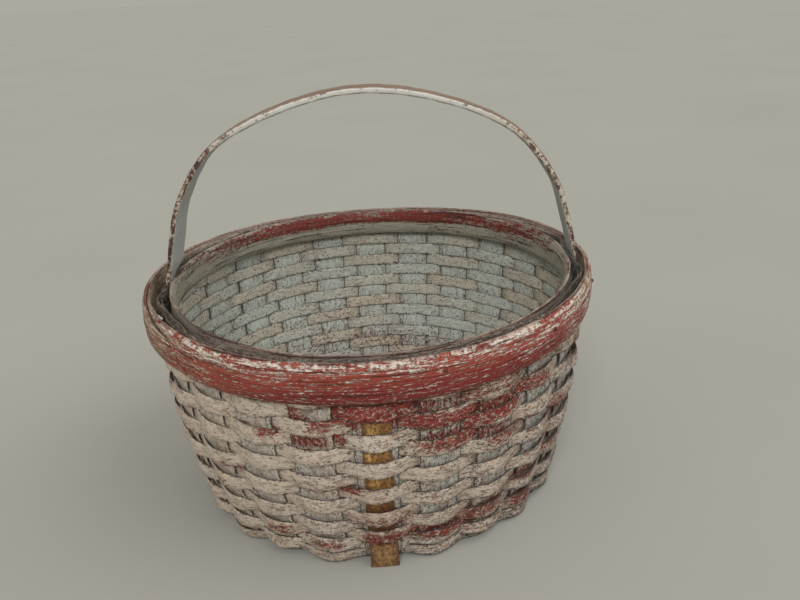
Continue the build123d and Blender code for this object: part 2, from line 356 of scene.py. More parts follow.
def woven_row(name, middle_s, parity, start, width, swell, bulge_out, bulge_in, extra, seed):
    """One row of weaving: out over every other stake and in behind the next. extra says at which
    stakes it lies further out, and by how much."""
    rng = np.random.default_rng(seed)
    reach_out = bulge_out * rng.uniform(0.84, 1.14, STAKES)
    reach_in = np.full(STAKES, bulge_in)
    for number, more in extra.items():
        reach_out[number] += more
        reach_in[number] -= more
    droop = rng.uniform(0.5, 1.5, STAKES)
    outer_blue = rng.uniform(-0.12, 0.12, STAKES)
    inner_blue = rng.uniform(-0.45, 0.35, STAKES)
    lean = 0.11 + 0.05 * rng.uniform(-1, 1)
    position = np.linspace(start - OVERLAP, start + STAKES + OVERLAP, STAKES * ROW_STEPS + 8)
    angle = FRONT + STEP * position
    radius, height, radial, rising = wall_at(middle_s + wander(angle, middle_s))
    cos, sin = np.cos(angle), np.sin(angle)
    across = stacked(cos * radial, sin * radial, rising)
    normal = stacked(cos * rising, sin * rising, -radial)
    share = outward_share(position, parity)
    tilted = unit(across - normal * lean * share[:, None])
    centre = stacked(cos * radius, sin * radius, height)
    centre = centre + normal * row_offset(position, parity, start, reach_out, reach_in)[:, None]
    along = angle * radius + seed * 0.9
    low = width / 2 + swell * share * nearest(position, parity, droop)
    low = low + RAGGED * wobble(along * 170, seed + 1)
    high = width / 2 + 0.35 * swell * share + RAGGED * wobble(along * 150, seed + 2)
    thick = WEAVER_THICK * (1 + 0.12 * wobble(along * 60, seed + 3))

    def coat(face, reach):
        spot_height = height[:, None] + reach * rising[:, None]
        over, blue = (parity, outer_blue) if face else (1 - parity, inner_blue)
        cool = WEAVER_COOL + nearest(position, over, blue)[:, None]
        return wall_coat(angle[:, None], spot_height, face, seed, cool)

    return splint(name, centre, tilted, normal, low, high, thick, ROW_CUP * share, along, seed, coat)


def row_length(row):
    """The length up the wall of a row's middle."""
    numbers, heights = zip(*ROW_HEIGHTS)
    return length_at_height(float(np.interp(row, numbers, heights)))


def start_stake(row, parity):
    start = (3 * row + 1) % STAKES
    if start % 2 == parity:
        start += 1
    return start + 2 if start in SIDES else start


def finish_piece(piece, node, material):
    piece.data.materials.append(material)
    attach(piece, "root")
    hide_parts(node)


LEG_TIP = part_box("handle")[0][2]
ROW_WIDTH, NARROW_WIDTH = 0.0120, 0.0108  # of the rows that show, and of the hidden and base rows
SWELL, HIDDEN_SWELL = 0.0014, 0.0002  # how much wider a row spreads in front of a stake
CORNER_SWELL, FLAT_SWELL = 0.0006, 0.0004
BULGE_OUT, HIDDEN_BULGE, FLAT_BULGE = 0.0044, 0.0030, 0.0023  # how far out a row passes a stake
BULGE_IN, BASE_BULGE_IN = 0.0015, 0.0020  # and how far in it lies behind one
HIDDEN_ROWS = 2  # the last rows of the wall lie between the hoops
BRACE_ROOM = 0.0012  # room for the front splint
LEG_ROOM, LEG_ROOM_GROWTH = 0.0015, 0.0028  # room for the legs at their tips, and more above
FOOT_ROOM = 0.0042  # the last base row passes behind the front splint's foot


def wall_room(parity, height):
    """How much further out a row lies at single stakes, to leave room for the other pieces."""
    if parity == 0:
        return {0: BRACE_ROOM}
    if height <= LEG_TIP:
        return {}
    share = (height - LEG_TIP) / (RIM_TOP - LEG_TIP)
    return {number: -(LEG_ROOM + LEG_ROOM_GROWTH * share) for number in SIDES}


def add_wall_rows(material):
    for row in range(1, WALL_ROWS + 1):
        s = row_length(row)
        parity = row % 2
        if row > WALL_ROWS - HIDDEN_ROWS:
            width, swell, bulge = NARROW_WIDTH, HIDDEN_SWELL, HIDDEN_BULGE
        else:
            width, swell, bulge = ROW_WIDTH, SWELL, BULGE_OUT
        room = wall_room(parity, float(wall_at(s)[1]))
        piece = woven_row(f"row_{row:02d}", s, parity, start_stake(row, parity), width, swell, bulge,
                          BULGE_IN, room, 100 + row)
        finish_piece(piece, f"weaver_{row:02d}", material)


def add_base_rows(material):
    crowded = [row_length(1) - CORNER_PITCH * steps for steps in range(CORNER_ROWS, 0, -1)]
    flat = np.linspace(length_at_radius(FIRST_BASE), crowded[0] - BASE_PITCH, BASE_ROWS - CORNER_ROWS)
    for row, s in enumerate([*flat, *crowded], 1):
        parity = (BASE_ROWS - row) % 2
        at_corner = row > BASE_ROWS - CORNER_ROWS
        swell, bulge = (CORNER_SWELL, BULGE_OUT) if at_corner else (FLAT_SWELL, FLAT_BULGE)
        room = {0: -FOOT_ROOM} if row == BASE_ROWS else {}
        piece = woven_row(f"base_row_{row}", s, parity, start_stake(row, parity), NARROW_WIDTH, swell,
                          bulge, BASE_BULGE_IN, room, 200 + row)
        finish_piece(piece, f"base_weaver_{row}", material)


# ---------------- stakes
STAKE_SHORT = 0.0035  # how far below the CAD stake's end the split end stops
STAKE_WAVE = 0.0004  # how far a stake bends away from a row
STAKE_DRIFT, STAKE_RAGGED = 0.0005, 0.0003  # how far its middle and its edges stray
STAKE_HOLLOW = 0.0003  # how far in the middle of its width lies
# Length from the middle of the base, and half the width there
STAKE_WIDTHS = ((0.0, 0.0042), (0.055, 0.0045), (0.150, 0.0138), (0.175, 0.0146), (0.380, 0.0172))


def row_wave(s):
    """The little in and out of an even stake, away from each row that presses on it."""
    rows = np.arange(1, WALL_ROWS + 1)
    places = [row_length(row) for row in rows]
    row = np.interp(s, places, rows)
    return -np.cos(math.pi * row) * np.clip((s - places[0]) / 0.01, 0, 1)


def upright_line(index):
    """The line of a splint from the middle of the base up one side: distance out, and height."""
    crossing = CROSSING_HEIGHT + LAYER_PITCH * index
    points = [(0.0, crossing), (CROSSING_RADIUS / 2, crossing), (CROSSING_RADIUS, crossing)]
    return smooth_curve(points + WALL_LINE, 230)


def cut_line(index):
    """The same line, cut at the stake's split end."""
    lengths, half = upright_line(index)
    kept = int(half[:, 1].searchsorted(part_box("stake_01")[1][2] - STAKE_SHORT))
    return lengths[:kept], half[:kept]


def upright(index):
    """One splint, from its end on one side of the rim under the base to its end on the other."""
    lengths, half = cut_line(index)
    s = np.concatenate([-lengths[::-1], lengths[1:]])
    out = np.concatenate([-half[::-1, 0], half[1:, 0]])
    height = np.concatenate([half[::-1, 1], half[1:, 1]])
    tangent = unit(stacked(np.gradient(out, s), np.gradient(height, s)))
    far_side = np.sign(out) < 0
    number = np.where(far_side, index + STAKES // 2, index)
    wall_s = np.abs(s) - lengths[-1] + length_at_height(half[-1, 1])
    wave = np.where(number % 2 == 0, 1, -1) * row_wave(wall_s) * STAKE_WAVE
    angle = FRONT + STEP * index
    ahead = np.array([math.cos(angle), math.sin(angle), 0])
    level = np.array([-math.sin(angle), math.cos(angle), 0])
    above = np.array([0, 0, 1])
    normal = tangent[:, 1, None] * ahead - tangent[:, 0, None] * above
    seed = 300 + index
    centre = out[:, None] * ahead + height[:, None] * above + normal * wave[:, None]
    centre = centre + level * (STAKE_DRIFT * wobble(s * 25, seed))[:, None]
    width = np.interp(np.abs(s), *zip(*STAKE_WIDTHS))
    low = width + STAKE_RAGGED * wobble(s * 90, seed + 1)
    high = width + STAKE_RAGGED * wobble(s * 80, seed + 2)
    thick = STAKE_THICK * (1 + 0.08 * wobble(s * 60, seed + 3))
    across = np.broadcast_to(level, centre.shape)
    hollow = -STAKE_HOLLOW * np.clip(np.abs(s) / 0.15 - 0.5, 0, 1)
    place_angle = np.where(far_side, angle + math.pi, angle)

    def coat(face, reach):
        spot_angle = place_angle[:, None] + reach / np.maximum(np.abs(out), 0.03)[:, None]
        return wall_coat(spot_angle, height[:, None], face, seed, STAKE_COOL)

    return splint(f"upright_{index + 1:02d}", centre, across, normal, low, high, thick, hollow,
                  s + index, seed, coat)


def add_stakes(material):
    for index in range(STAKES // 2):
        finish_piece(upright(index), f"stake_{index + 1:02d}", material)


# ---------------- hoops
HOOP_FACE = np.linspace(-1, 1, 15)  # places up the rounded face
HOOP_BACK = np.array([0.97, 0.55, 0.0, -0.55, -0.97])  # places down the flat face
HOOP_EDGE = 0.30  # share of the thickness left at the top and bottom edges
HOOP_TIP = 0.03  # share of the thickness left at a hoop's pared ends
HOOP_SLANT = 0.16  # how much sooner, in radians, the lap's end stops at its top edge
LAP_TAPER = 0.34  # how much narrower the lap's end is, as a share
LAP_APPROACH = 0.3  # how far before the lap, in radians, a hoop starts to rise over its first end
HOOP_RINGS = 460  # rings of its mesh
HOOP_TIGHT = 0.0022  # how much closer to the wall the outer hoop lies at the front
OUTER_RAISED, INNER_RAISED = 0.0020, 0.0042  # how much higher the hoops stand at the back
OUTER_PROUD = 0.0012  # how much higher the outer hoop stands all round
TOP_WAVER, BOTTOM_WAVER, FACE_WAVER = 0.0006, 0.0007, 0.0004  # how far its edges and faces stray
PLANED, SAWN = 0.00022, 0.0002  # depths of the marks on its rounded face and on its flat one


def hoop_face(share):
    """How far out the rounded face stands at each place up it, as a share of the thickness."""
    return HOOP_EDGE + (1 - HOOP_EDGE) * np.sqrt(np.clip(1 - np.abs(share)**2.4, 0, 1))


def lap_thickness(turn, lap, late, thick):
    """A hoop's own thickness round it, and how far it stands off its first end, which it laps."""
    early = np.clip(turn / lap, 0, 1)
    body = thick * np.minimum(HOOP_TIP + (1 - HOOP_TIP) * early, 1 - (1 - HOOP_TIP) * late**1.2)
    coming = np.clip((turn - 2 * math.pi + LAP_APPROACH) / LAP_APPROACH, 0, 1)
    rising = HOOP_TIP + (1 - HOOP_TIP) * late
    below = thick * np.where(turn > 2 * math.pi, rising, HOOP_TIP * coming**2)
    return body, below


def hoop_edges(angle, outward, width, seed):
    """The heights of a hoop's middle line, and half its width, round it."""
    raised = (0.5 + 0.5 * np.sin(angle))**2 * (OUTER_RAISED if outward > 0 else INNER_RAISED)
    top = RIM_TOP + TOP_WAVER * cyclic_wobble(angle, seed + 1) + OUTER_PROUD * max(outward, 0) + raised
    bottom = top - width + BOTTOM_WAVER * cyclic_wobble(angle, seed + 2)
    return (top + bottom) / 2, (top - bottom) / 2


def hoop(name, face_radius, outward, thick, width, start, lap, loose, seed, coat):
    """A bent hoop, flat against the wall and rounded away from it, with two pared ends that lie
    over each other for the lap. outward is 1 for the hoop outside the wall and -1 inside, and
    loose is how far it stands off the wall at the left."""
    turn = np.linspace(0, 2 * math.pi + lap, HOOP_RINGS)
    angle = start + turn
    late = np.clip((turn - 2 * math.pi) / lap, 0, 1)
    body, below = lap_thickness(turn, lap, late, thick)
    middle, half = hoop_edges(angle, outward, width, seed)
    half = half * (1 - LAP_TAPER * late**2)
    along = angle * face_radius
    planed = PLANED * wobble(along * 230, seed + 3)
    tight = HOOP_TIGHT * max(outward, 0) * (0.5 - 0.5 * np.sin(angle))**2
    standing = loose * (0.5 - 0.5 * np.cos(angle))**1.5
    wavy = FACE_WAVER * cyclic_wobble(angle, seed + 4) + standing - tight
    rounded = [below + body * hoop_face(share) + planed * math.cos(share * 5) for share in HOOP_FACE]
    flat = [below + SAWN * np.cos(share * 3 + along * 150) for share in HOOP_BACK]
    depth = np.stack(rounded + flat, axis=1)
    share = np.concatenate([HOOP_FACE, HOOP_BACK])[None, :] + 0 * depth
    if outward < 0:
        depth, share = depth[:, ::-1], share[:, ::-1]
    radius = face_radius + outward * (depth + wavy[:, None])
    reach = half[:, None] * share
    height = middle[:, None] + reach
    round_at = angle[:, None] - (HOOP_SLANT * late**2)[:, None] * (1 + share) / 2
    points = stacked(np.cos(round_at) * radius, np.sin(round_at) * radius, height)
    layer = seed + 0.4 * (turn > 2 * math.pi)
    grain = stacked(round_at * face_radius, reach + depth * 0.5, layer[:, None])
    paint = coat(angle[:, None], share, depth / thick)
    return add_mesh(name, points, strip_faces(len(turn), depth.shape[1]), grain, paint)


def outer_hoop_coat(angle, share, depth):
    """Red showing, olive wear, deep barn red, and dirt, on the outer hoop."""
    away = (degrees_from_front(angle) + 180) % 360 - 180
    upper = np.clip((share - 0.10) / 0.75, 0, 1)
    crest = np.clip((share - 0.80) / 0.15, 0, 1)
    leftward = np.clip((-away - 15) / 50, 0, 1) * np.clip((150 + away) / 30, 0, 1)
    rightward = np.clip((away - 30) / 40, 0, 1) * np.clip((120 - away) / 30, 0, 1)
    deep = np.clip(0.5 - share, 0, 1) * np.clip((away + 40) / 30, 0.3, 1)
    red = 0.79 - 0.32 * upper - 0.20 * leftward - 0.18 * rightward - 0.30 * (depth < 0.2)
    olive = 0.20 + 0.52 * upper * rightward + 0.46 * leftward - 0.2 * crest
    dirt_and_shade = 0.35 + 0.3 * np.clip((-share - 0.8) / 0.2, 0, 1) + 0.55 * crest
    return stacked(red, olive, deep, dirt_and_shade)


def inner_hoop_coat(angle, share, depth):
    """Red left on the upper part of the inner hoop, grey-green paint below."""
    away = degrees_from_front(angle) - 180  # from the back
    band = np.exp(-((share - 0.50) / 0.48)**4)
    at_front = np.clip((np.abs(away) - 100) / 40, 0, 1)
    crest = np.clip((share - 0.72) / 0.2, 0, 1)
    red = 0.14 + 0.64 * band * np.exp(-((away + 4) / 74)**4) * (depth > 0.15)
    red = red + 0.16 * crest + 0.12 * at_front
    olive = 0.12 + 0.30 * crest + 0.36 * at_front
    dirt_and_shade = 0.50 + 0.2 * crest + 0.15 * at_front
    return stacked(red, olive, 0.45, dirt_and_shade)


OUTER_FACE, OUTER_THICK, OUTER_WIDTH = 0.1836, 0.0062, 0.0325
OUTER_START, OUTER_LAP = math.radians(-187), math.radians(52)
OUTER_LOOSE = 0.0036
INNER_FACE, INNER_THICK, INNER_WIDTH = 0.1708, 0.0048, 0.0245
INNER_START, INNER_LAP = math.radians(30), math.radians(40)


def add_hoops(outer_material, inner_material):
    outer = hoop("outer_hoop", OUTER_FACE, 1, OUTER_THICK, OUTER_WIDTH, OUTER_START, OUTER_LAP,
                 OUTER_LOOSE, 31, outer_hoop_coat)
    finish_piece(outer, "outer_rim", outer_material)
    inner = hoop("inner_hoop", INNER_FACE, -1, INNER_THICK, INNER_WIDTH, INNER_START, INNER_LAP,
                 0.0, 36, inner_hoop_coat)
    finish_piece(inner, "inner_rim", inner_material)


# ---------------- handle
# Height and thickness of the bow, then height and width: thin tails, wide shoulders over the
# hoops, and the narrower grip
BOW_THICKS = ((LEG_TIP, 0.0016), (RIM_TOP, 0.0040), (RIM_TOP + 0.012, 0.0052), (0.300, 0.0057))
BOW_WIDTHS = ((0.112, 0.0110), (0.176, 0.0160), (0.186, 0.0262), (0.225, 0.0272), (0.300, 0.0212))
BOW_LINE = [(0.1703, 0.2233), (0.1575, 0.2633), (0.1226, 0.3053), (0.0614, 0.3323), (0.0, 0.3421)]
LEG_HEIGHTS = (LEG_TIP, 0.137, 0.162, RIM_TOP)
LEG_FROM, LEG_FADE = 0.085, 0.05  # how far out a leg's wear starts, and how fast it grows
LEG_GAP = 0.0006  # from the stake
CHIPPED_AT, CHIPPED_OVER, CHIPPED = -0.146, 0.020, 0.7  # the chipped left shoulder
BOW_RINGS, BOW_SIDES = 300, 24  # of its mesh
BOW_POWER = 0.42  # of its rounded section, lower is squarer
HANDLE_ASIDE = 0.0015  # how far right of the middle the bow stands
SWAY = 0.0010  # how far it strays to the front and the back
LEFT_TWIST = math.radians(11)  # the left leg's inner face is turned towards the front
LEFT_SHIFT = 0.0040  # and the leg leans in
TWIST_HEIGHTS = (0.186, 0.206, 0.245, 0.334)  # where the twist starts, is full, fades and ends


def bow_line():
    """The bow's outer face, from the left tail over the top to the right one: the lengths along
    it, the places and the directions inward."""
    half = []
    for height in LEG_HEIGHTS:
        radius = float(wall_at(length_at_height(height))[0])
        half.append((radius - STAKE_THICK / 2 - LEG_GAP, height))
    half += BOW_LINE
    s, outer = smooth_curve([(-x, z) for x, z in half] + half[-2::-1], BOW_RINGS)
    tangent = unit(np.gradient(outer, s, axis=0))
    return s, outer, stacked(tangent[:, 1], -tangent[:, 0])


def leg_wear(x):
    """How much a place on the bow is chipped like a leg."""
    chipped = CHIPPED * np.exp(-((x - CHIPPED_AT) / CHIPPED_OVER)**2)
    return np.clip((np.abs(x) - LEG_FROM) / LEG_FADE, 0, 1) + chipped


def add_handle(material):
    """The bow. Its paint is told how near a place is to the inner face, and how worn."""
    s, outer, inward = bow_line()
    z = outer[:, 1]
    bump = eased(np.interp(z, TWIST_HEIGHTS, (0, 1, 1, 0)) * (outer[:, 0] < 0))
    twist = LEFT_TWIST * bump
    thick = np.interp(z, *zip(*BOW_THICKS)) * (1 + 0.05 * wobble(s * 30, 41))
    width = np.interp(z, *zip(*BOW_WIDTHS)) * (1 + 0.025 * wobble(s * 22, 42))
    sway = SWAY * wobble(s * 9, 43)
    middle = outer + inward * (thick / 2 + LEFT_SHIFT * bump)[:, None]
    aside = HANDLE_ASIDE * np.clip((z - LEG_TIP) / (RIM_TOP - LEG_TIP), 0, 1)
    angles = np.linspace(0, 2 * math.pi, BOW_SIDES, endpoint=False) + math.pi / BOW_SIDES
    points, grain, coat = [], [], []
    for j, (cy, cn) in enumerate(zip(np.cos(angles), np.sin(angles))):
        cy, cn = (math.copysign(abs(v)**BOW_POWER, v) for v in (cy, cn))
        flat_depth = cn * thick / 2 + 0.0002 * wobble(s * 260 + j, 44)
        flat_y = cy * width / 2
        depth = flat_depth * np.cos(twist) + flat_y * np.sin(twist)
        x = middle[:, 0] + aside + inward[:, 0] * depth
        height = middle[:, 1] + inward[:, 1] * depth
        y = flat_y * np.cos(twist) - flat_depth * np.sin(twist) + sway
        points.append(stacked(x, y, height))
        grain.append(stacked(s, flat_y + flat_depth * 0.5, 9.3))
        coat.append(stacked(0, 0, (cn + 1) / 2, leg_wear(outer[:, 0])))
    points, grain, coat = (np.stack(sides, axis=1) for sides in (points, grain, coat))
    piece = add_mesh("bow_handle", points, strip_faces(len(s), BOW_SIDES), grain, coat)
    finish_piece(piece, "handle", material)


# ---------------- front splint
BRACE_THICK = 0.0013
FOOT_TOP = 0.020
FOOT_LINE = [(0.1640, 0.0), (0.1632, 0.011)]  # the outer face of the foot: radius and height
FOOT_THICK = 0.0032
BRACE_GAP = 0.0004  # from the stake
BRACE_HALF, FOOT_MORE = 0.0106, 0.0007  # half its width, and how much more at the foot
BRACE_DRIFT, BRACE_RAGGED = 0.0007, 0.0003  # how far its middle and its edges stray
BRACE_CUP = 0.0003  # how far out the middle of its width stands


def add_brace(material):
    lift = STAKE_THICK / 2 + BRACE_THICK + BRACE_GAP
    low, high = length_at_height(FOOT_TOP), length_at_height(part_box("front_brace")[1][2])
    rising = []
    for s in np.linspace(low, high, 12):
        radius, height, radial, up = (float(v) for v in wall_at(s))
        rising.append((radius + up * lift, height - radial * lift))
    s, line = smooth_curve(FOOT_LINE + rising, 260)
    tangent = unit(np.gradient(line, s, axis=0))
    normal = stacked(0, -tangent[:, 1], -tangent[:, 0])
    foot_share = np.clip((FOOT_TOP + 0.006 - line[:, 1]) / 0.014, 0, 1)
    thick = BRACE_THICK + (FOOT_THICK - BRACE_THICK) * foot_share
    centre = stacked(BRACE_DRIFT * wobble(s * 20, 51), -line[:, 0], line[:, 1])
    centre = centre - normal * thick[:, None] / 2
    centre[:, 2] = np.maximum(centre[:, 2], 0)
    across = np.broadcast_to(np.array([1.0, 0.0, 0.0]), centre.shape)
    half = BRACE_HALF + FOOT_MORE * np.clip(1 - s / 0.03, 0, 1)
    low_edge = half + BRACE_RAGGED * wobble(s * 90, 52)
    high_edge = half + BRACE_RAGGED * wobble(s * 80, 53)

    def coat(face, reach):
        return stacked(line[:, 1:2] * 4, np.abs(reach) / half[:, None], 0, 0)

    piece = splint("amber_splint", centre, across, normal, low_edge, high_edge, thick,
                   np.full_like(s, BRACE_CUP), s, 54, coat)
    finish_piece(piece, "front_brace", material)


# ---------------- rim nails
NAIL_HEAD = 0.0014  # its radius
NAIL_HEIGHT = 0.176
NAIL_SIDES = 14
NAIL_DEPTH = 0.0012  # how far below the hoop's surface its back lies
# Rings of a head, from its middle: share of its radius, and how far it stands off the hoop
NAIL_RINGS = [(0.0, 0.00055), (0.55, 0.00048), (0.9, 0.00028), (1.0, -0.0002), (0.9, -NAIL_DEPTH)]


def nail_head(place, outward):
    """A flattened round head, lying on the hoop."""
    points = []
    side = outward.cross(Vector((0, 0, 1))).normalized()
    up = side.cross(outward)
    for share, rise in NAIL_RINGS[1:]:
        for k in range(NAIL_SIDES):
            turn = 2 * math.pi * k / NAIL_SIDES
            spread = (side * math.cos(turn) + up * math.sin(turn)) * NAIL_HEAD * share
            points.append(place + spread + outward * rise)
    points.append(place + outward * NAIL_RINGS[0][1])
    points.append(place - outward * NAIL_DEPTH)
    faces = []
    last = (len(NAIL_RINGS) - 2) * NAIL_SIDES
    for k in range(NAIL_SIDES):
        n = (k + 1) % NAIL_SIDES
        for ring in range(len(NAIL_RINGS) - 2):
            a, b = ring * NAIL_SIDES, (ring + 1) * NAIL_SIDES
            faces.append((a + n, a + k, b + k, b + n))
        faces.append((len(points) - 2, k, n))
        faces.append((len(points) - 1, last + n, last + k))
    return points, faces


def hoop_surface(height):
    """The radius of the outer hoop's rounded face at a height."""
    share = (height - RIM_TOP + OUTER_WIDTH / 2) / (OUTER_WIDTH / 2)
    return OUTER_FACE + OUTER_THICK * float(hoop_face(share))


def add_nails(material):
    points, faces = [], []
    for number in [n for n in range(STAKES) if n % 2 or n in SIDES]:
        turn = FRONT + STEP * number
        outward = Vector((math.cos(turn), math.sin(turn), 0))
        place = outward * hoop_surface(NAIL_HEIGHT) + Vector((0, 0, NAIL_HEIGHT))
        more, shapes = nail_head(place, outward)
        faces += [tuple(i + len(points) for i in shape) for shape in shapes]
        points += [tuple(p) for p in more]
    piece = add_mesh("hoop_nails", np.array(points), faces)
    finish_piece(piece, "rim_nails", material)


# ---------------- materials
def srgb(red, green, blue):
    """A colour of 0 to 255 as the linear numbers that shaders take."""
    parts = [v / 255 for v in (red, green, blue)]
    return [v / 12.92 if v <= 0.04045 else ((v + 0.055) / 1.055)**2.4 for v in parts] + [1.0]


class Nodes:
    """Short ways to add the nodes of one material."""

    def __init__(self, name):
        self.material = bpy.data.materials.new(name)
        self.material.use_nodes = True
        self.tree = self.material.node_tree
        self.shader = self.tree.nodes["Principled BSDF"]

    def put(self, socket, value):
        if isinstance(value, bpy.types.NodeSocket):
            self.tree.links.new(value, socket)
        else:
            socket.default_value = value

    def add(self, kind, inputs, output=0, **settings):
        node = self.tree.nodes.new(kind)
        for key, value in settings.items():
            setattr(node, key, value)
        for key, value in inputs.items():
            self.put(node.inputs[key], value)
        return node.outputs[output]

    def math(self, operation, a, b):
        return self.add("ShaderNodeMath", {0: a, 1: b}, operation=operation)

    def times(self, a, b):
        return self.math("MULTIPLY", a, b)

    def plus(self, total, *more):
        for value in more:
            total = self.math("ADD", total, value)
        return total

    def swing(self, noise, size):
        """How far a noise stands above or below its middle, times a size."""
        return self.times(self.plus(noise, -0.5), size)

    def vector(self, operation, place, numbers):
        return self.add("ShaderNodeVectorMath", {0: place, 1: numbers}, operation=operation)

    def noise(self, place, x, y, detail=3.0, rough=0.6, shift=(0.0, 0.0), z=1.0):
        """Noise of 0 to 1 about 0.5, with x features to a metre along the grain and y across it."""
        place = self.vector("ADD", place, (*shift, 0.0))
        place = self.vector("MULTIPLY", place, (x, y, z))
        return self.add("ShaderNodeTexNoise", {"Vector": place, "Scale": 1.0, "Detail": detail,
                                               "Roughness": rough})

    def step(self, value, low, high):
        """0 below low, 1 above high, and smooth between."""
        return self.add("ShaderNodeMapRange", {"Value": value, "From Min": low, "From Max": high},
                        interpolation_type="SMOOTHSTEP")

    def mix(self, share, a, b):
        return self.add("ShaderNodeMix", {0: share, 6: a, 7: b}, output=2, data_type="RGBA")

    def finish(self, colour, roughness, height, distance, specular=0.35):
        self.put(self.shader.inputs["Base Color"], colour)
        self.put(self.shader.inputs["Roughness"], roughness)
        self.shader.inputs["Specular IOR Level"].default_value = specular
        bump = self.add("ShaderNodeBump", {"Strength": 1.0, "Distance": distance, "Height": height})
        self.put(self.shader.inputs["Normal"], bump)
        return self.material


def coat_parts(n):
    """The grain place and the four numbers of the paint."""
    place = n.add("ShaderNodeAttribute", {}, output=1, attribute_name="grain")
    colour = n.add("ShaderNodeAttribute", {}, output=0, attribute_name="coat")
    split = n.add("ShaderNodeSeparateColor", {0: colour}).node
    return place, *split.outputs[:3], colour.node.outputs["Alpha"]


def splint_top_coat(n, place, fine, broad, streaks, inside, tint, dirt_and_shade, showing):
    """Pale paint, bluer where the tint says, with bright flecks and dull patches, and pinkish
    where the red is about to show."""
    warm = n.mix(inside, srgb(197, 179, 161), srgb(188, 177, 157))
    cool = n.mix(inside, srgb(187, 193, 187), srgb(184, 191, 182))
    pale = n.mix(n.step(n.plus(tint, n.swing(broad, 1.3)), 0.0, 0.9), warm, cool)
    bright = n.step(n.plus(fine, n.swing(streaks, 0.6)), 0.50, 0.62)
    pale = n.mix(n.times(bright, 0.62), pale, srgb(220, 217, 210))
    dull = n.noise(place, 120, 280, 7.0, 0.78, (7.7, 2.2))
    dulled = n.step(n.plus(dull, n.times(dirt_and_shade, 0.06)), 0.51, 0.63)
    dulled = n.times(dulled, n.plus(0.66, n.times(inside, -0.34)))
    pale = n.mix(dulled, pale, srgb(132, 112, 98))
    rubbed = n.times(n.step(showing, 0.24, 0.52), n.plus(1.0, n.times(inside, -0.5)))
    return n.mix(n.times(rubbed, 0.55), pale, srgb(170, 122, 102))


def splint_ground(n, place, fibre, dirt_and_shade, showing):
    """Barn red, flaked down to the wood, with remnants of the pale paint, and where it is lost."""
    wood = n.mix(n.step(fibre, 0.35, 0.65), srgb(84, 62, 44), srgb(128, 100, 72))
    red_tone = n.step(n.noise(place, 120, 300, 4.0), 0.35, 0.65)
    red_paint = n.mix(red_tone, srgb(106, 30, 26), srgb(148, 52, 42))
    flakes = n.noise(place, 420, 640, 6.0, 0.78, (5.5, 0.3))
    flaked = n.step(n.plus(flakes, n.times(dirt_and_shade, 0.05)), 0.57, 0.62)
    lost = n.times(flaked, n.step(showing, 0.25, 0.6))
    remnants = n.noise(place, 300, 480, 7.0, 0.78, (2.2, 6.6))
    left_on = n.times(n.step(remnants, 0.54, 0.57), 0.9)
    return n.mix(left_on, n.mix(lost, red_paint, wood), srgb(196, 182, 168)), lost


def painted_splint(name, streaky):
    """Split wood under barn red and a pale top coat, both flaking away in small chips."""
    n = Nodes(name)
    place, red, inside, tint, dirt_and_shade = coat_parts(n)
    fibre = n.noise(place, 35, 1500, 4.0, 0.65)
    chips = n.noise(place, 230, 430, 9.0, 0.82)
    fine = n.noise(place, 800, 1300, 3.0, 0.8, (6.3, 2.8))
    broad = n.noise(place, 34, 70, 3.0, 0.55)
    streaks = n.noise(place, 70, 1000, 4.0, 0.75, (3.1, 1.7))
    showing = n.plus(n.times(red, 0.55), n.swing(chips, 2.5), n.swing(fine, 1.3), n.swing(broad, 0.5),
                     n.swing(streaks, streaky))
    bare_red = n.step(showing, 0.50, 0.56)
    pale = splint_top_coat(n, place, fine, broad, streaks, inside, tint, dirt_and_shade, showing)
    ground, lost = splint_ground(n, place, fibre, dirt_and_shade, showing)
    colour = n.mix(bare_red, pale, ground)
    # The fourth coat number holds dirt and painted shade, so these cracks and specks, and the dull
    # patches and flakes above, also crowd at the splints' edges, towards the floor and between the
    # hoops as painted shade
    cracks = n.step(n.plus(streaks, n.times(dirt_and_shade, 0.12)), 0.66, 0.73)
    specks = n.noise(place, 420, 620, 5.0, 0.75, (1.3, 9.1))
    specks = n.step(n.plus(specks, n.times(dirt_and_shade, 0.10)), 0.61, 0.67)
    grime = n.math("MAXIMUM", n.times(cracks, 0.8), specks)
    colour = n.mix(n.times(grime, 0.85), colour, srgb(42, 35, 32))
    # Painted shade: dark brown where the fourth coat number passes 0.9. It does so only where shade is
    # added: at the splints' edges, towards the floor and between the hoops. Dirt makes it deeper on
    # the right
    colour = n.mix(n.times(n.step(dirt_and_shade, 0.9, 1.5), 0.70), colour, srgb(62, 53, 48))
    height = n.plus(n.times(bare_red, -0.5), n.times(lost, -0.35), n.times(fibre, 0.45),
                    n.times(grime, -0.3), n.times(chips, 0.6))
    roughness = n.plus(n.times(chips, 0.25), 0.48)
    return n.finish(colour, roughness, height, 0.0005)


